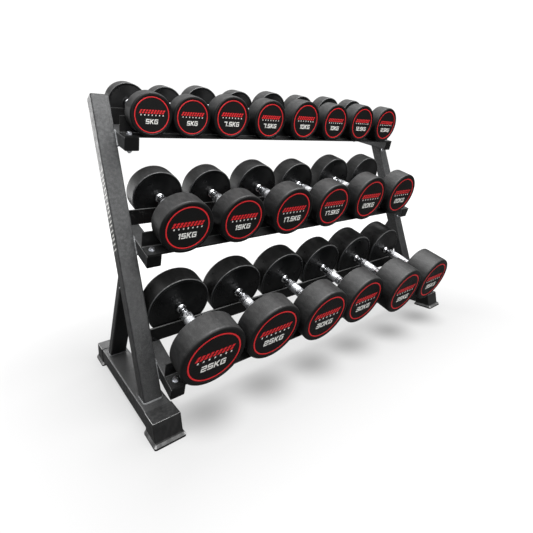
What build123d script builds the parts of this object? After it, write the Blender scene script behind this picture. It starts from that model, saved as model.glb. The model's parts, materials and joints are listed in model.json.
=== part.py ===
from build123d import *
from collections import namedtuple
import math
import os

# Three-tier dumbbell rack with twenty round-headed dumbbells, in millimetres and degrees.
# X runs along the rack, Y from its front to its back, Z up.
# While it is being built, X starts at the left posts' outer face and Y at the front posts' foot.
# At the end everything is moved so that the origin is the middle of the whole thing's underside.

# Side frames: a leaning front post and a rear strut, both standing on a base tube
RACK_LENGTH = 1335.0
TUBE_WIDTH = 50.0
POST_DEPTH = 44.0
POST_LEAN = 16.2
POST_LENGTH = 854.0
STRUT_DEPTH = 28.0
STRUT_FOOT_Y = 347.0
STRUT_HEAD_Z = 377.0
BASE_WIDTH = 71.0
BASE_HEIGHT = 46.0
BASE_BOTTOM = 12.0
BASE_FRONT_Y = -85.0
BASE_REAR_Y = 430.0
TUBE_WALL = 2.5
TUBE_CORNER = 4.5

# Shelf arms and the angle rails bolted across them
ARM_WIDTH = 40.0
ARM_HEIGHT = 37.0
ARM_LENGTH = 222.0
ARM_WALL = 2.0
ARM_CORNER = 3.0
RAIL_FLAT = 48.0
RAIL_UPRIGHT = 49.0
RAIL_THICKNESS = 4.5
RAIL_END_GAP = 1.0
REAR_RAIL_START = ARM_LENGTH - RAIL_FLAT

# M8 fasteners through rail and arm
BOLT_RADIUS = 4.0
BOLT_HOLE_RADIUS = 4.5
BOLT_INSET = 22.0
BOLT_HEAD_ACROSS = 13.0
BOLT_HEAD_HEIGHT = 5.5
WASHER_RADIUS = 8.5
WASHER_THICKNESS = 1.6
NUT_HEIGHT = 6.5
THREAD_PAST_NUT = 3.0

# Plastic end caps and moulded shoes
CAP_THICKNESS = 2.5
CAP_PLUG_DEPTH = 13.0
CAP_PLUG_GAP = 0.2
SHOE_SKIN = 1.6
SHOE_SLEEVE = 53.0
SHOE_WALL_TOP = 4.0
SHOE_WALL_FOOT = 12.0
SOLE_REACH = 21.0
SOLE_REAR_REACH = 5.0
SOLE_SIDE = 4.5
SOLE_EDGE = 5.0
SOLE_CORNER = 6.0

# What every dumbbell shares
HANDLE_RADIUS = 16.0
NECK_RADIUS = 10.5
COLLAR_RADIUS = 15.0
COLLAR_LENGTH = 13.0
NECK_LENGTH = 15.0
SPIGOT_RADIUS = 12.0
BORE_GAP = 0.1
HUB_RISE = 3.0
HUB_RADIUS = 20.0
INNER_ROUND = 5.0
OUTER_ROUND_SHARE = 0.1
PANEL_SHARE = 0.86
PANEL_DEPTH = 1.2
GROOVE_DEPTH = 0.8
GROOVE_WIDTH = 1.6
REST_GAP = 0.3
STOP_GAP = 0.5

Tier = namedtuple("Tier", "name tilt front_y front_z pairs")
Pair = namedtuple("Pair", "weight head_radius head_thickness grip_gap centres_x")

TIERS = [
    Tier("top", 16.8, 130.0, 753.5, [
        Pair("5kg", 59.5, 45.0, 151.0, (118.5, 239.0)),
        Pair("7_5kg", 65.0, 53.0, 148.0, (371.0, 524.0)),
        Pair("10kg", 69.5, 55.0, 148.0, (684.0, 844.0)),
        Pair("12_5kg", 73.0, 53.0, 148.0, (1009.0, 1177.0)),
    ]),
    Tier("middle", 20.8, 30.0, 443.5, [
        Pair("15kg", 77.5, 61.0, 142.0, (147.5, 326.0)),
        Pair("17_5kg", 83.0, 66.0, 142.0, (516.0, 709.0)),
        Pair("20kg", 90.5, 64.0, 142.0, (918.0, 1132.0)),
    ]),
    Tier("bottom", 20.8, -67.0, 112.0, [
        Pair("25kg", 95.0, 67.0, 144.0, (146.5, 346.0)),
        Pair("30kg", 95.5, 74.0, 152.0, (544.0, 741.0)),
        Pair("35kg", 96.0, 94.0, 161.0, (945.0, 1154.0)),
    ]),
]

BASE_TOP = BASE_BOTTOM + BASE_HEIGHT
LEAN = math.radians(POST_LEAN)
MIDDLE = Plane.YZ.offset(RACK_LENGTH / 2)
nodes = {}


def side_plane(y, z, angle):
    """A plane at X = 0 whose own X stays along the rack and whose own Z points up and back."""
    up = Vector(0, math.sin(angle), math.cos(angle))
    return Plane(origin=(0, y, z), x_dir=(1, 0, 0), z_dir=up)


def tube(width, depth, length, wall, corner):
    """A hollow rounded tube along Z, with its front left edge on the Z axis."""
    outer = RectangleRounded(width, depth, corner)
    inner = RectangleRounded(width - 2 * wall, depth - 2 * wall, corner - wall + 0.5)
    ring = Pos(width / 2, depth / 2) * (outer - inner)
    return extrude(ring, length)


def end_cap(width, depth, wall, corner):
    """A plastic plate over a tube's end, at Z = 0 and up, with a plug reaching down inside."""
    plate = extrude(RectangleRounded(width, depth, corner), CAP_THICKNESS)
    plate = chamfer(plate.edges().group_by(Axis.Z)[-1], 0.8)
    inset = 2 * (wall + CAP_PLUG_GAP)
    plug = extrude(RectangleRounded(width - inset, depth - inset, 2.0), -CAP_PLUG_DEPTH)
    return Pos(width / 2, depth / 2) * (plate + plug)


def on_both_sides(solids):
    """The left side frame's solids, then their mirror images on the right."""
    return solids + [mirror(solid, about=MIDDLE) for solid in solids]


def keep(name, solids):
    nodes[name] = solids if isinstance(solids, list) else [solids]


# Side frames
post_plane = side_plane(0, BASE_TOP, LEAN)
cut_below = POST_DEPTH * math.tan(LEAN)
post = Pos(0, 0, -cut_below) * tube(
    TUBE_WIDTH, POST_DEPTH, POST_LENGTH + cut_below, TUBE_WALL, TUBE_CORNER
)
post = split(post_plane.location * post, bisect_by=Plane.XY.offset(BASE_TOP), keep=Keep.TOP)

post_back_y = POST_DEPTH / math.cos(LEAN)
strut_head_y = post_back_y + (STRUT_HEAD_Z - BASE_TOP) * math.tan(LEAN)
strut_rise = STRUT_HEAD_Z - BASE_TOP
strut_run = STRUT_FOOT_Y - strut_head_y
strut_angle = math.atan2(-strut_run, strut_rise)
strut_plane = side_plane(STRUT_FOOT_Y, BASE_TOP, strut_angle)
strut_length = math.hypot(strut_rise, strut_run)
strut = Pos(0, -STRUT_DEPTH, -STRUT_DEPTH) * tube(
    TUBE_WIDTH, STRUT_DEPTH, strut_length + 2 * STRUT_DEPTH, TUBE_WALL, TUBE_CORNER
)
strut = split(strut_plane.location * strut, bisect_by=Plane.XY.offset(BASE_TOP), keep=Keep.TOP)
post_back = Plane(
    origin=(0, post_back_y, BASE_TOP),
    x_dir=(1, 0, 0),
    z_dir=(0, math.cos(LEAN), -math.sin(LEAN)),
)
strut = split(strut, bisect_by=post_back, keep=Keep.TOP)

base_inset = (BASE_WIDTH - TUBE_WIDTH) / 2
base_length = BASE_REAR_Y - BASE_FRONT_Y
base = Rot(-90, 0, 0) * tube(BASE_WIDTH, BASE_HEIGHT, base_length, TUBE_WALL, TUBE_CORNER)
base = Pos(-base_inset, BASE_FRONT_Y, BASE_TOP) * base

for side in ("left", "right"):
    for piece, solid in (("front_post", post), ("rear_strut", strut), ("base_tube", base)):
        keep(f"{side}_{piece}", solid if side == "left" else mirror(solid, about=MIDDLE))


# Moulded shoes: a sleeve over the tube's end, a closed toe and a wider sole
def shoe():
    """One shoe for a tube that ends at Y = 0 and runs to +Y, with its left side at X = 0."""
    width = BASE_WIDTH + 2 * SHOE_SKIN
    top = BASE_TOP + SHOE_SKIN
    side = make_face(Polyline(
        (-SHOE_WALL_FOOT, SOLE_EDGE),
        (-SHOE_WALL_TOP, top),
        (SHOE_SLEEVE, top),
        (SHOE_SLEEVE, SOLE_EDGE),
        close=True,
    ))
    body = extrude(Plane.YZ * side, width)
    body = fillet(body.edges().filter_by(Axis.X).sort_by(Axis.Z)[-2:], 1.0)
    toe_edges = body.faces().sort_by(Axis.Y)[0].edges().filter_by(Axis.X, reverse=True)
    body = fillet(toe_edges, 3.0)
    sole_width = width + 2 * SOLE_SIDE
    sole_length = SHOE_SLEEVE + SOLE_REACH + SOLE_REAR_REACH
    outline = Pos(width / 2, (SHOE_SLEEVE + SOLE_REAR_REACH - SOLE_REACH) / 2) * RectangleRounded(
        sole_width, sole_length, SOLE_CORNER
    )
    sole = extrude(outline, SOLE_EDGE)
    slope_height = BASE_BOTTOM - SOLE_EDGE
    slope = extrude(Pos(0, 0, SOLE_EDGE) * outline, slope_height, taper=math.degrees(math.atan2(
        SOLE_SIDE, slope_height
    )))
    hollow = RectangleRounded(BASE_WIDTH, BASE_HEIGHT, TUBE_CORNER)
    hollow = extrude(Plane.XZ * Pos(width / 2, BASE_BOTTOM + BASE_HEIGHT / 2) * hollow, -200)
    inset = 2 * (TUBE_WALL + CAP_PLUG_GAP)
    plug = RectangleRounded(BASE_WIDTH - inset, BASE_HEIGHT - inset, 2.0)
    plug = extrude(Plane.XZ * Pos(width / 2, BASE_BOTTOM + BASE_HEIGHT / 2) * plug, -CAP_PLUG_DEPTH)
    return body + sole + slope - hollow + plug


shoe_left = -base_inset - SHOE_SKIN
front_shoe = Pos(shoe_left, BASE_FRONT_Y, 0) * shoe()
rear_shoe = Pos(shoe_left, BASE_REAR_Y, 0) * mirror(shoe(), about=Plane.XZ)
keep("foot_shoes", on_both_sides([front_shoe, rear_shoe]))

# Shelves: arms, rails and fasteners of each tier
post_cap = Pos(0, 0, POST_LENGTH) * end_cap(TUBE_WIDTH, POST_DEPTH, TUBE_WALL, TUBE_CORNER)
caps = [post_plane.location * post_cap]
bolts = []
washers = []
nuts = []


def shelf_plane(tier):
    """Origin on the arms' top front edge; X along the rack, Y back along the arm, Z off the shelf."""
    tilt = math.radians(tier.tilt)
    normal = (0, -math.sin(tilt), math.cos(tilt))
    return Plane(origin=(0, tier.front_y, tier.front_z), x_dir=(1, 0, 0), z_dir=normal)


def rail(start, upright_at_start):
    """An angle rail lying on the arms, with a hole over each arm."""
    far = RAIL_FLAT if upright_at_start else 0.0
    near = RAIL_FLAT - far
    inward = RAIL_THICKNESS if upright_at_start else -RAIL_THICKNESS
    section = make_face(Polyline(
        (near, 0),
        (near, RAIL_UPRIGHT),
        (near + inward, RAIL_UPRIGHT),
        (near + inward, RAIL_THICKNESS),
        (far, RAIL_THICKNESS),
        (far, 0),
        close=True,
    ))
    inner_corner = section.vertices().sort_by_distance((near + inward, RAIL_THICKNESS))[0]
    section = fillet(inner_corner, 2.5)
    length = RACK_LENGTH - 2 * (TUBE_WIDTH + RAIL_END_GAP)
    bar = Pos(TUBE_WIDTH + RAIL_END_GAP, start) * extrude(Plane.YZ * section, length)
    for x in bolt_columns():
        bar -= Pos(x, bolt_row(start, upright_at_start), 0) * Cylinder(BOLT_HOLE_RADIUS, 30)
    return bar


def bolt_columns():
    left = TUBE_WIDTH + ARM_WIDTH / 2
    return (left, RACK_LENGTH - left)


def bolt_row(start, upright_at_start):
    return start + (RAIL_FLAT - BOLT_INSET if upright_at_start else BOLT_INSET)


def hexagon(across, height):
    """A hexagonal prism with its top corners turned off."""
    prism = extrude(RegularPolygon(across / 2, 6, major_radius=False), height)
    cone = Cone(across / 2 + 1.4 * height, across / 2 - 0.4, 2.4 * height)
    return prism & (Pos(0, 0, height - 1.2 * height) * cone)


def bolt():
    """A bolt standing on Z = 0, with its head above and its shank below."""
    length = RAIL_THICKNESS + ARM_HEIGHT + 2 * WASHER_THICKNESS + NUT_HEIGHT + THREAD_PAST_NUT
    shank = Pos(0, 0, -length / 2) * Cylinder(BOLT_RADIUS, length)
    shank = chamfer(shank.edges().group_by(Axis.Z)[0], 0.8)
    return hexagon(BOLT_HEAD_ACROSS, BOLT_HEAD_HEIGHT) + shank


def washer():
    ring = Circle(WASHER_RADIUS) - Circle(BOLT_HOLE_RADIUS)
    return extrude(ring, WASHER_THICKNESS)


def nut():
    return hexagon(BOLT_HEAD_ACROSS, NUT_HEIGHT) - Cylinder(BOLT_RADIUS + 0.05, 40)


def arm():
    """One shelf arm against the left post's inner face, drilled for the bolts of both rails."""
    body_length = ARM_LENGTH - 2 * CAP_THICKNESS
    body = tube(ARM_WIDTH, ARM_HEIGHT, body_length, ARM_WALL, ARM_CORNER)
    body = Pos(TUBE_WIDTH, CAP_THICKNESS, 0) * Rot(-90, 0, 0) * body
    for row in (bolt_row(0, False), bolt_row(REAR_RAIL_START, True)):
        body -= Pos(bolt_columns()[0], row, 0) * Cylinder(BOLT_HOLE_RADIUS, 3 * ARM_HEIGHT)
    return body


for tier in TIERS:
    shelf = shelf_plane(tier).location
    keep(f"{tier.name}_shelf_arms", on_both_sides([shelf * arm()]))
    keep(f"{tier.name}_front_rail", shelf * rail(0.0, False))
    keep(f"{tier.name}_rear_rail", shelf * rail(REAR_RAIL_START, True))
    cap = Rot(90, 0, 0) * end_cap(ARM_WIDTH, ARM_HEIGHT, ARM_WALL, ARM_CORNER)
    front_cap = Pos(TUBE_WIDTH, CAP_THICKNESS, -ARM_HEIGHT) * cap
    rear_cap = Pos(0, ARM_LENGTH, 0) * mirror(front_cap, about=Plane.XZ)
    caps += [shelf * front_cap, shelf * rear_cap]
    for row in (bolt_row(0, False), bolt_row(REAR_RAIL_START, True)):
        place = shelf * Pos(bolt_columns()[0], row, 0)
        head_seat = RAIL_THICKNESS + WASHER_THICKNESS
        bolts.append(place * Pos(0, 0, head_seat) * bolt())
        washers.append(place * Pos(0, 0, RAIL_THICKNESS) * washer())
        washers.append(place * Pos(0, 0, -ARM_HEIGHT - WASHER_THICKNESS) * washer())
        nuts.append(place * Pos(0, 0, -ARM_HEIGHT - WASHER_THICKNESS) * Rot(180, 0, 0) * nut())

keep("tube_end_caps", on_both_sides(caps))
keep("rail_bolts", on_both_sides(bolts))
keep("rail_washers", on_both_sides(washers))
keep("rail_nuts", on_both_sides(nuts))


# Dumbbells: each has its handle along Z with the middle of the grip at the origin
def head(pair):
    """The head at the +Z end: rounded rims, a panel sunk in its outer face, a bored hub inside."""
    radius = pair.head_radius
    inner = pair.grip_gap / 2
    outer = inner + pair.head_thickness
    panel = PANEL_SHARE * radius
    bore = SPIGOT_RADIUS + BORE_GAP
    profile = make_face(Polyline(
        (bore, inner - HUB_RISE),
        (HUB_RADIUS, inner - HUB_RISE),
        (radius, inner),
        (radius, outer),
        (panel, outer),
        (panel - PANEL_DEPTH, outer - PANEL_DEPTH),
        (0, outer - PANEL_DEPTH),
        (0, inner + spigot_depth(pair)),
        (bore, inner + spigot_depth(pair)),
        close=True,
    ))
    profile = fillet(profile.vertices().sort_by_distance((radius, inner))[0], INNER_ROUND)
    outer_round = OUTER_ROUND_SHARE * radius
    profile = fillet(profile.vertices().sort_by_distance((radius, outer))[0], outer_round)
    return revolve(Plane.XZ * profile, Axis.Z)


def spigot_depth(pair):
    """How far the handle's ends are pressed into the heads."""
    return 0.6 * pair.head_thickness


def handle(pair):
    """Spigot, rounded collar, waisted neck and grip, the same at both ends."""
    face = pair.grip_gap / 2
    collar_outer = face - HUB_RISE
    collar_inner = collar_outer - COLLAR_LENGTH
    grip_end = collar_inner - NECK_LENGTH
    tip = face + spigot_depth(pair)
    half = Polyline(
        (0, tip),
        (SPIGOT_RADIUS, tip),
        (SPIGOT_RADIUS, collar_outer),
    )
    collar = ThreePointArc(
        (SPIGOT_RADIUS, collar_outer),
        (COLLAR_RADIUS, (collar_outer + collar_inner) / 2),
        (NECK_RADIUS, collar_inner),
    )
    neck = ThreePointArc(
        (NECK_RADIUS, collar_inner),
        (NECK_RADIUS - 0.5, collar_inner - 0.4 * NECK_LENGTH),
        (HANDLE_RADIUS - 1.5, grip_end),
    )
    rings = [(HANDLE_RADIUS, grip_end - 1.5)]
    for groove in (6.0, 10.0, 14.0):
        start = grip_end - groove
        rings.append((HANDLE_RADIUS, start))
        rings.append((HANDLE_RADIUS - GROOVE_DEPTH, start - 0.3))
        rings.append((HANDLE_RADIUS - GROOVE_DEPTH, start - GROOVE_WIDTH + 0.3))
        rings.append((HANDLE_RADIUS, start - GROOVE_WIDTH))
    grip = Polyline((HANDLE_RADIUS - 1.5, grip_end), *rings, (HANDLE_RADIUS, 0), (0, 0), (0, tip))
    profile = make_face(half + collar + neck + grip)
    upper = revolve(Plane.XZ * profile, Axis.Z)
    return upper + mirror(upper, about=Plane.XY)


for tier in TIERS:
    shelf = shelf_plane(tier)
    for pair in tier.pairs:
        back_face = REAR_RAIL_START + RAIL_THICKNESS + HUB_RISE + STOP_GAP
        grip_middle = back_face - pair.grip_gap / 2
        height = RAIL_THICKNESS + REST_GAP + pair.head_radius
        back_head = head(pair)
        front_head = mirror(back_head, about=Plane.XY)
        for copy, centre_x in zip("ab", pair.centres_x):
            place = shelf.location * Pos(centre_x, grip_middle, height) * Rot(-90, 0, 0)
            name = f"dumbbell_{pair.weight}_{copy}"
            keep(f"{name}_heads", [place * front_head, place * back_head])
            keep(f"{name}_handle", place * handle(pair))

# Origin to the middle of the underside, then one file per node
whole = Compound(children=[Compound(children=list(solids)) for solids in nodes.values()])
box = whole.bounding_box()
to_origin = Pos(-(box.min.X + box.max.X) / 2, -(box.min.Y + box.max.Y) / 2, -box.min.Z)
os.makedirs("parts", exist_ok=True)
for name, solids in nodes.items():
    placed = [solid for part in solids for solid in (to_origin * part).solids()]
    export_step(Compound(children=placed) if len(placed) > 1 else placed[0], f"parts/{name}.step")
print("nodes", len(nodes), "size", box.size)
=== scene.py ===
import json
import math

import bpy
from mathutils import Matrix, Vector

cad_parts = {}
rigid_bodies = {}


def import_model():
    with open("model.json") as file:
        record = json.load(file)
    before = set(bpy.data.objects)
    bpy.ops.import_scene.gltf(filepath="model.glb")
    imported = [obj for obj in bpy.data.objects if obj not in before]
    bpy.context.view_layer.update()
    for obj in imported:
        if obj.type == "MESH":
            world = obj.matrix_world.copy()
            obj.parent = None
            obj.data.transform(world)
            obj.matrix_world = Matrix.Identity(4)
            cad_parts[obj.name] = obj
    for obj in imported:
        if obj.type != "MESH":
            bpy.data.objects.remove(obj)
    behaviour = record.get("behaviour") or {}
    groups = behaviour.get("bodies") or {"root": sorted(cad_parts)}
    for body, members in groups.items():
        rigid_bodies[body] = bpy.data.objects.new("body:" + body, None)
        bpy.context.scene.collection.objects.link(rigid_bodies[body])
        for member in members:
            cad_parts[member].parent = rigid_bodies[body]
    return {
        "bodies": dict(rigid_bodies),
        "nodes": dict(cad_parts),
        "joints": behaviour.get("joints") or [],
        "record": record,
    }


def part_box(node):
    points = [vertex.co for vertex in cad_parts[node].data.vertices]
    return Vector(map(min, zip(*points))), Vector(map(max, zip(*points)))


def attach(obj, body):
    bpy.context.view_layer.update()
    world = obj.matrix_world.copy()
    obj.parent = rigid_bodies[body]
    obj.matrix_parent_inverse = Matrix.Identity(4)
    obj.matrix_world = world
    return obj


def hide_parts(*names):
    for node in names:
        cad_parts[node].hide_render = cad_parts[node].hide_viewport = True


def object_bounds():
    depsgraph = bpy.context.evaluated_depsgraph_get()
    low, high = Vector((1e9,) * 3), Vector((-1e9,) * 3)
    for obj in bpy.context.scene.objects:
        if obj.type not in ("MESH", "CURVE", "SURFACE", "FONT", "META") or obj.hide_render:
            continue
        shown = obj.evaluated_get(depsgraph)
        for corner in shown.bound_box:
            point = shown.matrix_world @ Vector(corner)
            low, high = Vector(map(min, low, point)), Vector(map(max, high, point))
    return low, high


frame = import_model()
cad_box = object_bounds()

# A loaded three-tier dumbbell rack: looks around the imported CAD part, in metres.
# X runs along the rack, Y from its front to its back, Z up.

MM = 0.001

# A head, with shares of its radius
HUB_RISE = 3 * MM         # how far the hub stands off the inner face's rim
INNER_SHARE = 0.955       # where the inner face's finish stops and the rim's pale painted highlight begins
OUTER_ROUNDING = 0.085
PANEL_SHARE = 0.86        # the inlay on the outer face
PANEL_DEPTH = 1.2 * MM
RED_BAND = 0.79           # the ring's middle
RED_BAND_WIDTH = 0.046
SHADED_FROM = 0.093       # in metres: only the bottom tier's heads are larger, and its back ones get a darker casing as painted shade
LOWEST_TIER_BELOW = 0.15  # in metres: only the bottom tier's heads reach below this height

# The handle, from a head's hub inwards
HUB_TO_GRIP = 28 * MM     # the collar and the neck
PLAIN_GRIP = 17.2 * MM    # the grip's bare end, before the knurled sleeve

# What is laid on a surface starts a little inside it
SUNK = -0.2 * MM
PAINT = 0.4 * MM          # and a head's markings end this far above it

WHITE = (1.0, 1.0, 1.0, 1.0)

scene = bpy.context.scene
scene.view_settings.view_transform = "Standard"


def placed(origin, x_axis, y_axis, z_axis):
    """The matrix that puts something at origin, with its own axes along these."""
    return Matrix.Translation(origin) @ Matrix((x_axis, y_axis, z_axis)).transposed().to_4x4()


# ---------------------------------------------------------------- camera and light

def place_camera():
    """In front of the left end, a little above the middle shelf, turned towards the rack's far end."""
    turn, dip, roll = 0.654, 0.169, -0.026
    ahead = Vector((math.sin(turn) * math.cos(dip), math.cos(turn) * math.cos(dip), -math.sin(dip)))
    level = Vector((math.cos(turn), -math.sin(turn), 0.0))
    upright = level.cross(ahead)
    right = level * math.cos(roll) + upright * math.sin(roll)
    up = upright * math.cos(roll) - level * math.sin(roll)
    data = bpy.data.cameras.new("view")
    data.lens = 24.4
    data.sensor_width = 36.0
    data.shift_x = 0.0063
    data.shift_y = -0.0833
    camera = bpy.data.objects.new("view", data)
    camera.matrix_world = placed((-0.9315, -1.0027, 0.6837), right, up, -ahead)
    scene.collection.objects.link(camera)
    scene.camera = camera


def softbox(name, place, target, size, power):
    """A rectangular soft light at place that faces target."""
    data = bpy.data.lights.new(name, "AREA")
    data.shape = "RECTANGLE"
    data.size, data.size_y = size
    data.energy = power
    lamp = bpy.data.objects.new(name, data)
    lamp.location = place
    lamp.rotation_euler = (Vector(target) - Vector(place)).to_track_quat("-Z", "Y").to_euler()
    scene.collection.objects.link(lamp)


def light_studio():
    """A dome, bright overhead and in front, dim low down and behind, and plain white to the camera,
    with four softboxes."""
    world = bpy.data.worlds.new("studio")
    world.use_nodes = True
    tree = world.node_tree

    def ranged(value, numbers):
        node = tree.nodes.new("ShaderNodeMapRange")
        for socket, number in zip(("From Min", "From Max", "To Min", "To Max"), numbers):
            node.inputs[socket].default_value = number
        tree.links.new(value, node.inputs["Value"])
        return node.outputs["Result"]

    split = tree.nodes.new("ShaderNodeSeparateXYZ")
    tree.links.new(tree.nodes.new("ShaderNodeTexCoord").outputs["Generated"], split.inputs["Vector"])
    dome = tree.nodes.new("ShaderNodeMath")
    dome.operation = "MULTIPLY"
    tree.links.new(ranged(split.outputs["Z"], (0.38, 0.97, 0.05, 3.2)), dome.inputs[0])
    tree.links.new(ranged(split.outputs["Y"], (-0.35, 0.70, 1.0, 0.45)), dome.inputs[1])
    strength = tree.nodes.new("ShaderNodeMix")
    seen = tree.nodes.new("ShaderNodeLightPath")
    tree.links.new(seen.outputs["Is Camera Ray"], strength.inputs["Factor"])
    tree.links.new(dome.outputs["Value"], strength.inputs["A"])
    strength.inputs["B"].default_value = 1.05       # what the camera sees
    tree.links.new(strength.outputs["Result"], tree.nodes["Background"].inputs["Strength"])
    tree.nodes["Background"].inputs["Color"].default_value = WHITE
    scene.world = world
    softbox("overhead", (0.15, -0.80, 2.3), (0.1, -0.1, 0.4), (2.4, 0.55), 48)
    softbox("front_fill", (-0.5, -2.7, 1.25), (0.0, 0.0, 0.5), (2.4, 1.5), 40)
    softbox("left_rear", (-2.0, 0.9, 1.9), (-0.4, 0.0, 0.3), (0.9, 0.9), 4)
    softbox("backdrop", (-0.9, 2.7, 0.95), (-0.2, 0.0, 0.6), (3.0, 1.5), 42)


# ---------------------------------------------------------------- materials

class Finish:
    """A procedural material built around one Principled shader."""

    def __init__(self, name, **sockets):
        self.material = bpy.data.materials.new(name)
        self.material.use_nodes = True
        self.tree = self.material.node_tree
        self.shader = self.tree.nodes["Principled BSDF"]
        self.place = self.node("ShaderNodeTexCoord").outputs["Object"]
        for socket, value in sockets.items():
            self.shader.inputs[socket.replace("_", " ")].default_value = value

    def node(self, kind, **settings):
        made = self.tree.nodes.new(kind)
        for key, value in settings.items():
            setattr(made, key, value)
        return made

    def set(self, socket, value):
        """Links or sets one input socket."""
        if isinstance(value, bpy.types.NodeSocket):
            self.tree.links.new(value, socket)
        else:
            socket.default_value = value

    def noise(self, scale, detail, stretch=None):
        texture = self.node("ShaderNodeTexNoise")
        texture.inputs["Scale"].default_value = scale
        texture.inputs["Detail"].default_value = detail
        place = self.place
        if stretch:
            mapping = self.node("ShaderNodeMapping")
            mapping.inputs["Scale"].default_value = stretch
            self.set(mapping.inputs["Vector"], place)
            place = mapping.outputs["Vector"]
        self.set(texture.inputs["Vector"], place)
        return texture.outputs["Fac"]

    def cells(self, scale):
        texture = self.node("ShaderNodeTexVoronoi")
        texture.inputs["Scale"].default_value = scale
        self.set(texture.inputs["Vector"], self.place)
        return texture.outputs["Distance"]

    def span(self, value, start, stop, low=0.0, high=1.0):
        """Turns start..stop into low..high, and holds it there outside."""
        ranged = self.node("ShaderNodeMapRange")
        for socket, number in zip(("From Min", "From Max", "To Min", "To Max"), (start, stop, low, high)):
            ranged.inputs[socket].default_value = number
        self.set(ranged.inputs["Value"], value)
        return ranged.outputs["Result"]

    def soft_span(self, value, start, stop, low, high):
        """The same, easing in and out."""
        reached = self.span(value, start, stop, low, high)
        reached.node.interpolation_type = "SMOOTHSTEP"
        return reached

    def parts(self, vector):
        """A vector's parts by name, X, Y and Z."""
        split = self.node("ShaderNodeSeparateXYZ")
        self.set(split.inputs["Vector"], vector)
        return split.outputs

    def normal(self):
        return self.parts(self.node("ShaderNodeNewGeometry").outputs["Normal"])

    def maths(self, kind, first, second=0.0):
        node = self.node("ShaderNodeMath", operation=kind)
        self.set(node.inputs[0], first)
        self.set(node.inputs[1], second)
        return node.outputs[0]

    def mix(self, share, first, second):
        node = self.node("ShaderNodeMix", data_type="RGBA")
        self.set(node.inputs["Factor"], share)
        for socket, colour in ((node.inputs[6], first), (node.inputs[7], second)):
            self.set(socket, colour if isinstance(colour, bpy.types.NodeSocket) else (*colour, 1.0))
        return node.outputs[2]

    def colour(self, value):
        self.set(self.shader.inputs["Base Color"], value)

    def roughness(self, value):
        self.set(self.shader.inputs["Roughness"], value)

    def bump(self, *layers):
        """Layers of (height, depth in metres), each on top of the last."""
        below = None
        for height, depth in layers:
            node = self.node("ShaderNodeBump")
            node.inputs["Distance"].default_value = depth
            self.set(node.inputs["Height"], height)
            if below:
                self.set(node.inputs["Normal"], below)
            below = node.outputs["Normal"]
        self.set(self.shader.inputs["Normal"], below)

    def edges(self):
        """The upper rounded edges of box-like parts: 1 where the surface faces half up and half to a side."""
        normal = self.normal()
        sides = [self.maths("ABSOLUTE", normal[axis]) for axis in "XYZ"]
        most = self.maths("MAXIMUM", self.maths("MAXIMUM", *sides[:2]), sides[2])
        return self.maths("MULTIPLY", self.span(most, 0.87, 0.76), self.span(normal["Z"], 0.30, 0.62))

    def painted_edge_highlights(self, strength):
        """A painted highlight along those edges, broken up in patches."""
        patchy = self.span(self.noise(42.0, 4.0), 0.34, 0.58, 0.30, 1.0)
        return self.maths("MULTIPLY", self.maths("MULTIPLY", self.edges(), patchy), strength)

    def upward(self, start, stop):
        """From 0 to 1 as the surface turns up, by its normal's height."""
        return self.span(self.normal()["Z"], start, stop)

    def height(self, low, high, start, stop):
        """From start at height low to stop at height high, for pieces that sit at the origin."""
        return self.span(self.parts(self.place)["Z"], low, high, start, stop)

    def scuffs(self, scale, stretch):
        """Thin wandering lines in a few patches, 0 to 1."""
        line = self.maths("ABSOLUTE", self.maths("SUBTRACT", self.noise(scale, 4.0, stretch), 0.5))
        patch = self.span(self.noise(9.0, 3.0), 0.55, 0.68)
        return self.maths("MULTIPLY", self.span(line, 0.0, 0.012, 1.0, 0.0), patch)


def grey(value, tint=0.0):
    return (value, value * (1 + tint / 2), value * (1 + tint))


def powder_coat(name, shade, gloss=0.0, edge=0.75, dust=0.16):
    """Textured black powder coat with dust in its grain and rubbed marks, darker low down and underneath as
    painted shade, with painted highlights on its upper edges and, where its dust is strong, on its tops.
    """
    finish = Finish(name, Specular_IOR_Level=0.36)
    cloud = finish.span(finish.noise(7.0, 4.0), 0.35, 0.68)
    base = finish.mix(cloud, grey(shade * 0.9, 0.06), grey(shade * 1.5, 0.04))
    mottle = finish.span(finish.noise(120.0, 6.0), 0.42, 0.62, 0.0, 0.9)
    base = finish.mix(mottle, base, grey(shade * 2.1, 0.04))
    # Painted shade: darker towards the bottom, where less light reaches.
    base = finish.mix(finish.height(0.10, 0.70, 0.85, 0.0), base, grey(shade * 0.35, 0.06))
    specks = finish.span(finish.noise(1100.0, 1.0), 0.60, 0.72, 0.0, 0.35)
    base = finish.mix(specks, base, grey(0.16))
    # Painted shade: darker where the surface faces down.
    base = finish.mix(finish.upward(-0.42, -0.08), grey(shade * 0.15, 0.2), base)
    rubbed = finish.maths("MULTIPLY", finish.scuffs(38.0, (1.0, 1.0, 0.35)), 0.35)
    base = finish.mix(rubbed, base, grey(0.20))
    # Paler where the surface faces up: dust, and on the rear rails, whose dust amount is large, a painted
    # highlight along their top edges.
    dust_and_highlight = finish.maths("MULTIPLY", finish.upward(0.80, 0.93), dust)
    base = finish.mix(dust_and_highlight, base, grey(0.12))
    # Painted highlight along the upper rounded edges, in patches.
    finish.colour(finish.mix(finish.painted_edge_highlights(edge), base, grey(0.26)))
    finish.roughness(finish.span(finish.noise(60.0, 3.0), 0.3, 0.7, 0.40 - gloss, 0.56 - gloss))
    finish.bump((finish.noise(190.0, 3.0), 0.0004), (finish.noise(650.0, 2.0), 0.00014),
                (finish.noise(2200.0, 1.0), 0.00005))
    return finish.material


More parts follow.
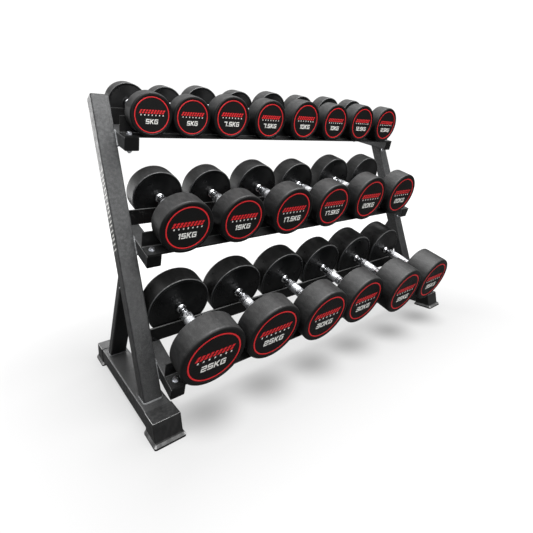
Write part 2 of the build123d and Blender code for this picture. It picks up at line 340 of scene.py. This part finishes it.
def moulded(name, shade, rough, grain, depth, dust, edge=0.0):
    """Moulded black rubber or plastic: fine grain, bloom and smudges, darker on its sides and underneath as
    painted shade, and on box-like parts a painted highlight along the upper edges.
    """
    finish = Finish(name, Specular_IOR_Level=0.32)
    bloom = finish.span(finish.noise(14.0, 5.0), 0.38, 0.70)
    base = finish.mix(bloom, grey(shade, 0.03), grey(shade * 1.9))
    smudge = finish.span(finish.noise(105.0, 6.0, (1.0, 1.0, 0.5)), 0.44, 0.62, 0.0, 0.85)
    base = finish.mix(smudge, base, grey(shade * 2.2))
    specks = finish.span(finish.noise(1500.0, 1.0), 0.64, 0.74, 0.0, dust)
    base = finish.mix(specks, base, grey(0.30))
    # Painted shade: darker on the sides and darkest underneath, full tone only on top.
    base = finish.mix(finish.upward(-0.25, 0.75), grey(shade * 0.2, 0.1), base)
    # Painted highlight along the upper edges.
    if edge:
        base = finish.mix(finish.painted_edge_highlights(edge), base, grey(0.62))
    finish.colour(base)
    finish.roughness(finish.span(finish.noise(30.0, 4.0), 0.3, 0.7, rough - 0.07, rough + 0.08))
    finish.bump((finish.noise(26.0, 2.0), 0.00018), (finish.noise(grain, 2.0), depth))
    return finish.material


def turned_rubber(name, shade):
    """The heads' inner faces: smooth rubber, near black as painted shade, whose fine turning rings draw the
    gloss out.
    """
    finish = Finish(name, Specular_IOR_Level=0.32, Anisotropic=0.78)
    haze = finish.span(finish.noise(20.0, 4.0), 0.40, 0.70)
    finish.colour(finish.mix(haze, grey(shade, 0.16), grey(shade * 2.0, 0.08)))
    finish.roughness(finish.span(finish.noise(34.0, 4.0), 0.3, 0.7, 0.26, 0.38))
    around = finish.node("ShaderNodeTangent", direction_type="RADIAL", axis="Z")
    finish.set(finish.shader.inputs["Tangent"], around.outputs["Tangent"])
    finish.bump((finish.noise(30.0, 2.0), 0.00010), (finish.noise(1500.0, 1.0), 0.00003))
    return finish.material


def pebbled(name, shade):
    """The heads' face inlay: fine pebbled black rubber."""
    finish = Finish(name, Specular_IOR_Level=0.22)
    pebble = finish.cells(1300.0)
    finish.colour(finish.mix(finish.span(pebble, 0.1, 0.6), grey(shade * 1.5), grey(shade * 0.7)))
    finish.roughness(finish.span(finish.noise(40.0, 3.0), 0.3, 0.7, 0.48, 0.62))
    finish.bump((pebble, 0.00016))
    return finish.material


def enamel(name, colour, worn):
    """Filled-in paint: slightly uneven, with pin holes where it has worn."""
    finish = Finish(name)
    patch = finish.span(finish.noise(60.0, 4.0), 0.35, 0.7, 0.0, 0.22)
    base = finish.mix(patch, colour, tuple(c * 0.62 for c in colour))
    holes = finish.span(finish.noise(900.0, 2.0), 0.66, 0.72, 0.0, worn)
    finish.colour(finish.mix(holes, base, grey(0.02)))
    finish.roughness(finish.span(finish.noise(120.0, 2.0), 0.3, 0.7, 0.36, 0.52))
    finish.bump((finish.noise(420.0, 2.0), 0.00006))
    return finish.material


def plated(name, colour, rough, brushed, depth):
    """Plated steel with faint turning lines and finger smudges."""
    finish = Finish(name, Metallic=1.0)
    haze = finish.span(finish.noise(45.0, 4.0), 0.35, 0.7)
    finish.colour(finish.mix(haze, colour, tuple(c * 0.86 for c in colour)))
    finish.roughness(finish.span(finish.noise(80.0, 4.0), 0.3, 0.7, rough * 0.7, rough * 1.5))
    finish.bump((finish.noise(brushed, 2.0, (1.0, 0.06, 0.06)), depth))
    return finish.material


MATERIALS = {
    "frame_paint": powder_coat("frame_powder_coat", 0.034, 0.08),
    # The rails: darker copies of the frame's powder coat as painted shade, with strong painted edge
    # highlights.
    "front_rail_paint": powder_coat("front_rail_shaded_powder_coat", 0.009, 0.0, 0.9, 0.05),
    "rear_rail_paint": powder_coat("rear_rail_shaded_powder_coat", 0.009, 0.02, 0.9, 0.75),
    # The weld beads: the frame's powder coat made pale as a painted highlight.
    "weld": powder_coat("weld_highlight_powder_coat", 0.25, 0.16, 0.0),
    "shoe_rubber": moulded("shoe_moulding", 0.016, 0.36, 900.0, 0.00006, 0.10, 1.0),
    "cap_plastic": moulded("cap_moulding", 0.014, 0.34, 1400.0, 0.00004, 0.10, 0.7),
    "head_rubber": moulded("head_casing", 0.0165, 0.43, 1700.0, 0.00006, 0.22),
    "head_inner": turned_rubber("head_inner_shaded_rubber", 0.0028),
    # The rim: pale rubber as a painted highlight on its rounding.
    "head_rim_highlight": moulded("head_rim_painted_highlight", 0.115, 0.30, 1700.0, 0.00004, 0.10),
    "head_shaded": moulded("head_shaded_casing", 0.006, 0.34, 1700.0, 0.00005, 0.10),
    "head_face": moulded("head_face_rubber", 0.007, 0.46, 1700.0, 0.00006, 0.05),
    "head_panel": pebbled("head_face_inlay", 0.006),
    "red": enamel("red_enamel", (0.80, 0.018, 0.024), 0.4),
    "white": enamel("white_enamel", (0.92, 0.92, 0.88), 0.25),
    "zinc_steel": plated("zinc_plate", (0.86, 0.88, 0.92), 0.36, 500.0, 0.00003),
    "handle_chrome": plated("chrome_plate", (0.72, 0.73, 0.75), 0.16, 700.0, 0.00002),
    "knurl_chrome": plated("knurled_chrome", (0.66, 0.67, 0.69), 0.40, 900.0, 0.00002),
}


# ---------------------------------------------------------------- mesh tools

class Shape:
    """Points and faces gathered for one mesh, each face with its material's number."""

    def __init__(self):
        self.points, self.faces, self.numbers = [], [], []

    def add(self, points, faces, number=0, matrix=Matrix.Identity(4)):
        start = len(self.points)
        self.points += [matrix @ Vector(p) for p in points]
        self.faces += [[start + i for i in face] for face in faces]
        self.numbers += number if isinstance(number, list) else [number] * len(faces)

    def mesh(self, name, materials, smooth=True):
        mesh = bpy.data.meshes.new(name)
        mesh.from_pydata(self.points, [], self.faces)
        for material in materials:
            mesh.materials.append(MATERIALS[material])
        mesh.polygons.foreach_set("material_index", self.numbers)
        mesh.polygons.foreach_set("use_smooth", [smooth] * len(self.faces))
        if smooth:
            mesh.set_sharp_from_angle(angle=math.radians(38))
        mesh.validate()
        return mesh


def piece(name, mesh, body, slot, matrix=Matrix.Identity(4)):
    """Puts a mesh into the scene as a piece that moves with a body."""
    made = bpy.data.objects.new(name, mesh)
    scene.collection.objects.link(made)
    made.matrix_world = matrix
    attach(made, body)
    return made


def rounded(corners):
    """A profile of (r, z, rounding) corners with each corner turned into an arc."""
    line, steps = [], 7
    for index, (r, z, radius) in enumerate(corners):
        here = Vector((r, z))
        if not radius or index in (0, len(corners) - 1):
            line.append(here)
            continue
        before = (Vector(corners[index - 1][:2]) - here).normalized()
        after = (Vector(corners[index + 1][:2]) - here).normalized()
        half = before.angle(after) / 2
        reach = radius / math.tan(half)
        middle = here + (before + after).normalized() * (radius / math.sin(half))
        start, stop = here + before * reach, here + after * reach
        line.append(start + before * 0.12 * radius)
        for step in range(steps + 1):
            spoke = (start - middle).slerp(stop - middle, step / steps)
            line.append(middle + spoke.normalized() * radius)
        line.append(stop + after * 0.12 * radius)
    return line


def turns(count):
    """The angles of count even steps round a circle."""
    return [2 * math.pi * step / count for step in range(count)]


def lathe(line, around, number):
    """A closed solid: the profile turned about Z, from the axis back to the axis.

    number gives a face's material number from its middle's radius and height.
    """
    points, rings = [], []
    for r, z in line:
        if r < 1e-7:
            rings.append([len(points)])
            points.append((0.0, 0.0, z))
            continue
        rings.append(range(len(points), len(points) + around))
        points += [(r * math.cos(angle), r * math.sin(angle), z) for angle in turns(around)]
    faces, numbers = [], []
    for index in range(len(line) - 1):
        low, high = rings[index], rings[index + 1]
        middle = (Vector(line[index]) + Vector(line[index + 1])) / 2
        for step in range(around):
            after = (step + 1) % around
            face = [low[step % len(low)], low[after % len(low)],
                    high[after % len(high)], high[step % len(high)]]
            faces.append(list(dict.fromkeys(face)))     # a triangle where a ring is the axis
            numbers.append(number(*middle))
    return points, faces, numbers


def slab(outline, low, high):
    """A flat plate: an outline of (x, y) points, anticlockwise, between two heights."""
    count = len(outline)
    points = [(x, y, low) for x, y in outline] + [(x, y, high) for x, y in outline]
    faces = [list(range(count))[::-1], list(range(count, 2 * count))]
    faces += [[i, (i + 1) % count, count + (i + 1) % count, count + i] for i in range(count)]
    return points, faces


# ---------------------------------------------------------------- dumbbells

TURNED = Matrix.Rotation(math.pi, 4, "Y")      # takes the front head to the back head's place
FACES_AROUND = 120


class Dumbbell:
    """One dumbbell's place and measures, from its CAD nodes and its joint."""

    def __init__(self, name):
        low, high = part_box(f"{name}_handle")
        middle = (low + high) / 2
        lift = next(Vector(j["axis"]) for j in frame["joints"] if j["child"] == name)
        front = Vector((1, 0, 0)).cross(lift)
        self.matrix = placed(middle, Vector((1, 0, 0)), lift, front)
        low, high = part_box(f"{name}_heads")
        self.radius = (high.x - low.x) / 2
        points = frame["nodes"][f"{name}_heads"].data.vertices
        along = [abs((point.co - middle).dot(front)) for point in points]
        self.outer = max(along)
        self.inner = min(along) + HUB_RISE
        self.face = self.outer - PANEL_DEPTH
        self.label = name.split("_", 1)[1].rsplit("_", 1)[0].replace("_", ".").upper()      # as 7.5KG

    def both_faces(self, shape, points, faces):
        """Adds what lies on a head's outer face to the front and to the back head."""
        lifted = Matrix.Translation((0, 0, self.face))
        shape.add(points, faces, matrix=lifted)
        shape.add(points, faces, matrix=TURNED @ lifted)


def head_profile(bell):
    """From the axis on the hub, over the inner face, rim, side and outer face, back to the axis."""
    r, inner, outer = bell.radius, bell.inner, bell.outer
    panel = PANEL_SHARE * r
    return rounded([
        (0.0, inner - 0.6 * HUB_RISE, 0),
        (14.0 * MM, inner - 0.6 * HUB_RISE, 0),
        (16.0 * MM, inner - HUB_RISE, 0.8 * MM),
        (20.0 * MM, inner - HUB_RISE, 3.0 * MM),
        (0.90 * r, inner + 0.8 * MM, 3.0 * MM),
        (0.915 * r, inner, 1.2 * MM),
        (r, inner, 0.034 * r),
        (r, outer, OUTER_ROUNDING * r),
        (panel, outer, 0.8 * MM),
        (panel - PANEL_DEPTH, bell.face, 0.5 * MM),
        (0.0, bell.face, 0),
    ])


def head_mesh(bell):
    """The front and the back head, with a finish for each part of their surface."""
    finishes = ["head_rubber", "head_face", "head_panel", "head_inner", "head_rim_highlight", "head_shaded"]
    side, face, panel, inner, rim, shaded = range(len(finishes))
    r = bell.radius

    def number(radius, z):
        if z < bell.inner + 0.022 * r:
            return inner if radius < INNER_SHARE * r else rim
        if z < bell.outer - 0.3 * OUTER_ROUNDING * r - PANEL_DEPTH:
            return side
        return panel if radius < PANEL_SHARE * r - PANEL_DEPTH else face

    points, faces, numbers = lathe(head_profile(bell), FACES_AROUND, number)
    shape = Shape()
    shape.add(points, faces, numbers)
    # The bottom tier's back heads: a darker copy of the casing as painted shade, under the tier above.
    if r > SHADED_FROM:
        numbers = [shaded if number == side else number for number in numbers]
    shape.add(points, faces, numbers, TURNED)
    return shape.mesh("heads", finishes)


def ring_mesh(bell):
    """The raised red band round each face."""
    r = bell.radius
    inside, outside = (RED_BAND - RED_BAND_WIDTH / 2) * r, (RED_BAND + RED_BAND_WIDTH / 2) * r
    height = 0.5 * MM
    section = [(inside, -0.3 * MM), (outside, -0.3 * MM), (outside, 0.6 * height),
               (outside - 0.4 * MM, height), (inside + 0.4 * MM, height), (inside, 0.6 * height)]
    points, faces = [], []
    for angle in turns(FACES_AROUND):
        points += [(s * math.cos(angle), s * math.sin(angle), z) for s, z in section]
    count = len(section)
    for step in range(FACES_AROUND):
        here, after = step * count, (step + 1) % FACES_AROUND * count
        faces += [[here + i, here + (i + 1) % count, after + (i + 1) % count, after + i]
                  for i in range(count)]
    shape = Shape()
    bell.both_faces(shape, points, faces)
    return shape.mesh("rings", ["red"])


def slanted(left, right, low, high, lean):
    """A parallelogram leaning to the right, as an outline."""
    return [(left + lean * low, low), (right + lean * low, low),
            (right + lean * high, high), (left + lean * high, high)]


def block_mesh(bell):
    """A plain red row of slanted hatching in two courses, where a maker's word would be."""
    r = bell.radius
    courses = ((0.066 * r, 0.142 * r), (0.160 * r, 0.236 * r))
    count, pitch, width, lean = 9, 0.132 * r, 0.083 * r, 0.5
    shift = lean * (courses[0][0] + courses[-1][1]) / 2     # keeps the leaning row centred
    shape = Shape()
    for low, high in courses:
        for index in range(count):
            left = (index - (count - 1) / 2) * pitch - width / 2 - shift
            bell.both_faces(shape, *slab(slanted(left, left + width, low, high, lean), SUNK, PAINT))
    return shape.mesh("blocks", ["red"], smooth=False)


# The block figures' stroke, width and lean, for a height of 1
BAR = 0.20
WIDE = 0.86
LEAN = 0.10


def strokes(name):
    """One block figure as separate convex outlines, anticlockwise, from its lower left corner."""
    cut, middle = 0.09, 0.5
    top = [(0, 1 - BAR), (WIDE, 1 - BAR), (WIDE, 1 - cut), (WIDE - cut, 1), (cut, 1), (0, 1 - cut)]
    foot = [(cut, 0), (WIDE - cut, 0), (WIDE, cut), (WIDE, BAR), (0, BAR), (0, cut)]

    def box(left, right, low, high):
        return [(left, low), (right, low), (right, high), (left, high)]

    waist = box(0, WIDE, middle - BAR / 2, middle + BAR / 2)
    upper_left = box(0, BAR, middle + BAR / 2, 1 - BAR)
    upper_right = box(WIDE - BAR, WIDE, middle + BAR / 2, 1 - BAR)
    lower_left = box(0, BAR, BAR, middle - BAR / 2)
    lower_right = box(WIDE - BAR, WIDE, BAR, middle - BAR / 2)
    side = box(0, BAR, BAR, 1 - BAR)
    return {
        "0": [top, foot, side, box(WIDE - BAR, WIDE, BAR, 1 - BAR)],
        "1": [box(0.2, 0.2 + BAR, 0, 1), [(0.0, 0.76), (0.2, 0.76), (0.2, 1), (0.06, 0.92)]],
        "2": [top, upper_right, waist, lower_left, foot],
        "3": [top, upper_right, waist, lower_right, foot],
        "5": [top, upper_left, waist, lower_right, foot],
        "7": [top, box(WIDE - BAR - 0.1, WIDE - 0.1, 0, 1 - BAR)],
        "K": [box(0, BAR, 0, 1),
              [(BAR, 0.40), (BAR + 0.12, 0.40), (WIDE, 1), (WIDE - 0.30, 1), (BAR, 0.62)],
              [(BAR + 0.12, 0.40), (WIDE - 0.26, 0), (WIDE + 0.03, 0), (BAR + 0.26, 0.56)]],
        "G": [top, side, foot, lower_right, box(0.42, WIDE, middle - BAR / 2, middle + BAR / 2)],
        ".": [box(0, 0.2, 0, 0.2)],
    }[name]


def figures(text, height, widest):
    """Outlines of slanted block figures, centred on the origin, and narrowed to fit in widest."""
    widths = [{"1": 0.44, ".": 0.20}.get(letter, WIDE) for letter in text]
    gap = 0.15
    length = sum(width + gap for width in widths) - gap
    scale = min(0.92 * height, widest / length)
    outlines, left = [], -length / 2
    for letter, width in zip(text, widths):
        for outline in strokes(letter):
            outlines.append([((left + x + LEAN * (y - 0.5)) * scale, (y - 0.5) * height) for x, y in outline])
        left += width + gap
    return outlines


def label_mesh(bell):
    """The weight in white, under a row of small white dashes."""
    r = bell.radius
    height, widest, middle = 0.215 * r, 0.86 * r, -0.285 * r
    outlines = [[(x, y + middle) for x, y in outline] for outline in figures(bell.label, height, widest)]
    dashes, pitch, width = 7, 0.172 * r, 0.042 * r
    for index in range(dashes):
        left = (index - (dashes - 1) / 2) * pitch - 0.019 * r
        outlines.append(slanted(left, left + width, -0.030 * r, 0.026 * r, 0.15))
    shape = Shape()
    for outline in outlines:
        bell.both_faces(shape, *slab(outline, SUNK, PAINT))
    return shape.mesh("labels", ["white"], smooth=False)


def knurl_mesh(half_length):
    """The grip's sleeve: turned bands and grooves at each end, diamond knurling between them."""
    around, pitch = 96, 1.05 * MM
    valley, peak, band, root = 16.0 * MM, 16.25 * MM, 16.3 * MM, 15.2 * MM
    turned = [(0.0, root), (0.0, band - 0.4 * MM), (0.4 * MM, band), (4.2 * MM, band), (4.6 * MM, root),
              (6.0 * MM, root), (6.4 * MM, band), (10.2 * MM, band), (10.6 * MM, root), (12.0 * MM, root),
              (12.4 * MM, valley)]
    start = half_length - turned[-1][0]
    rows = 2 * round(start / pitch)
    line = [(z - half_length, radius) for z, radius in turned]
    line += [(start * (2 * row / rows - 1), None) for row in range(1, rows)]
    line += [(half_length - z, radius) for z, radius in turned[::-1]]
    points, faces = [], []
    for row, (z, plain) in enumerate(line):
        for step, angle in enumerate(turns(around)):
            radius = plain or (peak if (row + step) % 2 == 0 else valley)
            points.append((radius * math.cos(angle), radius * math.sin(angle), z))
    for row in range(len(line) - 1):
        for step in range(around):
            after = (step + 1) % around
            a, b = row * around + step, row * around + after
            c, d = b + around, a + around
            if line[row][1] and line[row + 1][1]:
                faces.append([a, b, c, d])
            else:
                faces += [[a, b, d], [b, c, d]] if (row + step) % 2 == 0 else [[a, b, c], [a, c, d]]
    faces += [list(range(around))[::-1], list(range((len(line) - 1) * around, len(line) * around))]
    shape = Shape()
    shape.add(points, faces)
    return shape.mesh("knurl", ["knurl_chrome"], smooth=False)


def dumbbells():
    """The dumbbells' body names."""
    return [body for body in frame["bodies"] if body.startswith("dumbbell_")]


def dress_dumbbells():
    """Heads, markings and grip for each dumbbell. The two of a pair share their meshes."""
    made = {}
    for name in dumbbells():
        bell = Dumbbell(name)
        if bell.label not in made:
            sleeve = bell.inner - HUB_RISE - HUB_TO_GRIP - PLAIN_GRIP
            made[bell.label] = {
                "cast_heads": (head_mesh(bell), "head_rubber"),
                "face_rings": (ring_mesh(bell), "head_rubber"),
                "face_blocks": (block_mesh(bell), "head_rubber"),
                "face_labels": (label_mesh(bell), "head_rubber"),
                "knurled_grip": (knurl_mesh(sleeve), "handle_chrome"),
            }
        for part, (mesh, slot) in made[bell.label].items():
            put = piece(f"{name}_{part}", mesh, name, slot, bell.matrix)
            if part == "cast_heads":
                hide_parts(f"{name}_heads")


# ---------------------------------------------------------------- weld beads

def wobble(value):
    """A fixed, irregular number from -1 to 1."""
    return math.sin(value * 12.9898) * math.cos(value * 4.1414 + 1.7)


def bead(shape, corners, closed=False):
    """A run of weld along a line of corners: overlapping ripples, half sunk in the joint."""
    radius, step, sides, ripple = 2.6 * MM, 0.9 * MM, 8, 3.6 * MM
    corners = [Vector(c) for c in corners]
    if closed:
        corners.append(corners[0])
    path = []
    for start, stop in zip(corners, corners[1:]):
        count = max(2, round((stop - start).length / step))
        path += [start.lerp(stop, i / count) for i in range(count)]
    if not closed:
        path.append(corners[-1])
    count = len(path)
    points, faces = [], []
    travelled = 0.0
    for index, here in enumerate(path):
        start, end = not closed and index == 0, not closed and index == count - 1
        before = here if start else path[index - 1]
        after = here if end else path[(index + 1) % count]
        along = (after - before).normalized()
        if abs(along.x) > 0.9:
            side = along.orthogonal().normalized()
        else:
            side = along.cross(Vector((1, 0, 0))).normalized()
        other = along.cross(side)
        travelled += (here - path[index - 1]).length if index else 0.0
        swell = 1 + 0.13 * abs(math.sin(math.pi * travelled / ripple)) + 0.06 * wobble(index * 0.37)
        if start or end:
            swell = 0.15
        points += [here + (side * math.cos(angle) + other * math.sin(angle)) * radius * swell
                   for angle in turns(sides)]
    for index in range(count if closed else count - 1):
        low, high = index * sides, (index + 1) % count * sides
        faces += [[low + i, low + (i + 1) % sides, high + (i + 1) % sides, high + i] for i in range(sides)]
    if not closed:
        faces += [list(range(sides))[::-1], list(range((count - 1) * sides, count * sides))]
    shape.add(points, faces)


WELD_CORNER = 3.5 * MM    # a weld turns a tube's corner this far from it


def extent(points, axis):
    """The least and the most that the points reach along x, y or z."""
    values = [getattr(point, axis) for point in points]
    return min(values), max(values)


def on_plane(node, origin, normal, within=0.5 * MM):
    """The node's mesh points that lie on a plane."""
    return [v.co.copy() for v in frame["nodes"][node].data.vertices
            if abs((v.co - origin).dot(normal)) < within]


def feet(node, height):
    """The node's mesh points at a height."""
    return on_plane(node, Vector((0, 0, height)), Vector((0, 0, 1)))


def weld_foot(shape, node, top):
    """The run round a tube's foot, on the base tube's top."""
    points = feet(node, top)
    (x0, x1), (y0, y1), corner = extent(points, "x"), extent(points, "y"), WELD_CORNER
    bead(shape, [
        (x0 + corner, y0, top), (x1 - corner, y0, top), (x1, y0 + corner, top), (x1, y1 - corner, top),
        (x1 - corner, y1, top), (x0 + corner, y1, top), (x0, y1 - corner, top), (x0, y0 + corner, top),
    ], closed=True)


def weld_strut_head(shape, side, back, normal):
    """The run round the strut's head, on the post's back: the plane through the point back."""
    points = on_plane(f"{side}_rear_strut", back, normal, 1.2 * MM)
    if points:
        (x0, x1), corner = extent(points, "x"), WELD_CORNER
        low, high = min(points, key=lambda p: p.z), max(points, key=lambda p: p.z)
        bead(shape, [(x0 + corner, high.y, high.z), (x1 - corner, high.y, high.z),
                     (x1, low.y, low.z + corner), (x0, low.y, low.z + corner)], closed=True)


def weld_arm(shape, tier, side, inner_x, front, back, normal):
    """The four runs round a shelf arm's joint with the post, whose faces go through front and back."""
    arms = [v.co for v in frame["nodes"][f"{tier}_shelf_arms"].data.vertices
            if (v.co.x < 0) == (side == "left")]
    arm_top, near = max(p.z for p in arms), 0.12      # a tier's handles lie this near to its arms' top
    lift = next(Vector(j["axis"]) for j in frame["joints"]
                if abs(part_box(f"{j['child']}_handle")[0].z - arm_top) < near)
    along = Vector((0, lift.z, -lift.y))

    def crossing(level, plane):
        """Where the arm's edge at this level goes through one of the post's faces."""
        reach = (plane.dot(normal) - (lift * level).dot(normal)) / along.dot(normal)
        point = lift * level + along * reach
        return Vector((inner_x, point.y, point.z))

    lower, upper = min(p.dot(lift) for p in arms), max(p.dot(lift) for p in arms)
    front_up, back_up, front_low, back_low = [
        crossing(level, plane) for level in (upper, lower) for plane in (front, back)]
    inset = (back_up - front_up).normalized() * 3 * MM
    bead(shape, [front_up + inset, front_low + inset])
    bead(shape, [back_up - inset, back_low - inset])
    bead(shape, [front_up + inset, back_up - inset])
    bead(shape, [front_low + inset, back_low - inset])


def weld_side(side):
    """All the weld runs of one side frame."""
    post, strut = f"{side}_front_post", f"{side}_rear_strut"
    post_low, post_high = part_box(post)
    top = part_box(f"{side}_base_tube")[1].z
    shape = Shape()
    weld_foot(shape, post, top)
    weld_foot(shape, strut, top)
    foot_front, foot_back = extent(feet(post, top), "y")
    front, back = Vector((0, foot_front, top)), Vector((0, foot_back, top))
    lean = math.atan2(post_high.y - foot_back, post_high.z - top)
    normal = Vector((0, math.cos(lean), -math.sin(lean)))
    weld_strut_head(shape, side, back, normal)
    inner_x = post_high.x if side == "left" else post_low.x
    for tier in ("top", "middle", "bottom"):
        weld_arm(shape, tier, side, inner_x, front, back, normal)
    piece(f"{side}_weld_beads", shape.mesh("welds", ["weld"]), "rack", "frame_paint")


# ---------------------------------------------------------------- marks on the post

def post_marks():
    """Plain pale dashes up the left post's outer side, where a maker's word would be."""
    low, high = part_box("left_front_post")
    foot_front, foot_back = extent(feet("left_front_post", low.z), "y")
    lean = math.atan2(high.y - foot_back, high.z - low.z)
    up = Vector((0, math.sin(lean), math.cos(lean)))
    out = Vector((-1, 0, 0))
    matrix = placed(Vector((low.x, (foot_front + foot_back) / 2, low.z)), up.cross(out), up, out)
    shape = Shape()
    half, start, pitch, rise = 12 * MM, 0.405, 26 * MM, 4 * MM
    for index in range(9):
        base = start + index * pitch
        dashes = [(-half, half, base, base + 5 * MM), (-half, half, base + 15 * MM, base + 20 * MM)]
        if index % 3 == 1:
            dashes = [(-half, half, base + 2 * MM, base + 8 * MM),
                      (-half / 2, half, base + 13 * MM, base + 19 * MM)]
        for left, right, bottom, top in dashes:
            outline = [(left, bottom), (right, bottom + rise), (right, top + rise), (left, top)]
            shape.add(*slab(outline, SUNK, 0.12 * MM))
    piece("left_post_marks", shape.mesh("marks", ["white"], smooth=False), "rack", "frame_paint", matrix)


# ---------------------------------------------------------------- put together

def dress_cad():
    """The CAD parts that stay take their slot's procedural finish, and the rails a darker copy as painted
    shade.
    """
    for row in frame["record"]["subparts"]:
        finish = row["material_slot"]
        if row["node"].endswith("_rail"):
            finish = row["node"].split("_", 1)[1] + "_paint"
        for holder in frame["nodes"][row["node"]].material_slots:
            holder.material = MATERIALS[finish]


def floor_paper():
    """Pale paper. It glows for the camera only, so that it looks pale and doesn't light the rack, and glows
    less close to the rack's box and under the bottom tier's front heads as a painted shadow, where the floor
    is in shade."""
    finish = Finish("floor_paper", Roughness=0.9, Specular_IOR_Level=0.0, Emission_Color=WHITE)
    seen = finish.node("ShaderNodeLightPath").outputs["Is Camera Ray"]
    finish.colour(finish.mix(seen, grey(0.10), grey(0.17)))
    place = finish.parts(finish.place)
    half = (cad_box[1] - cad_box[0]) / 2
    aside = [finish.span(finish.maths("ABSOLUTE", place[axis]), start, start + 3.0, 0.0, 3.0)
             for axis, start in (("X", half.x), ("Y", half.y))]
    away = finish.maths("SQRT", finish.maths("ADD", *[finish.maths("POWER", value, 2.0) for value in aside]))
    glow = finish.span(away, 0.0, 1.1, 0.55, 0.98)
    shade, behind, reach = 0.0, 0.085, 0.12     # a painted shadow spot's middle behind its head's front, and its radius
    for body in dumbbells():
        low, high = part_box(f"{body}_heads")
        if low.z < LOWEST_TIER_BELOW:
            spot = finish.node("ShaderNodeVectorMath", operation="DISTANCE")
            finish.set(spot.inputs[0], finish.place)
            spot.inputs[1].default_value = ((low.x + high.x) / 2, low.y + behind, 0.0)
            reached = finish.soft_span(spot.outputs["Value"], 0.0, reach, 1.0, 0.0)
            shade = finish.maths("ADD", reached, shade)
    glow = finish.maths("MULTIPLY", glow, finish.span(shade, 0.0, 1.0, 1.0, 0.52))
    uneven = finish.span(finish.noise(2.0, 2.0), 0.3, 0.7, 0.99, 1.01)
    finish.set(finish.shader.inputs["Emission Strength"],
               finish.maths("MULTIPLY", finish.maths("MULTIPLY", glow, uneven), seen))
    return finish.material


def lay_floor():
    """A large sheet of it, just under the soles."""
    MATERIALS["floor"] = floor_paper()
    reach, level = 14.0, -0.2 * MM
    shape = Shape()
    corners = [(-reach, -reach), (reach, -reach), (reach, reach), (-reach, reach)]
    shape.add([(x, y, level) for x, y in corners], [[0, 1, 2, 3]])
    floor = bpy.data.objects.new("floor", shape.mesh("floor", ["floor"], smooth=False))
    scene.collection.objects.link(floor)


place_camera()
light_studio()
dress_cad()
dress_dumbbells()
weld_side("left")
weld_side("right")
post_marks()
lay_floor()
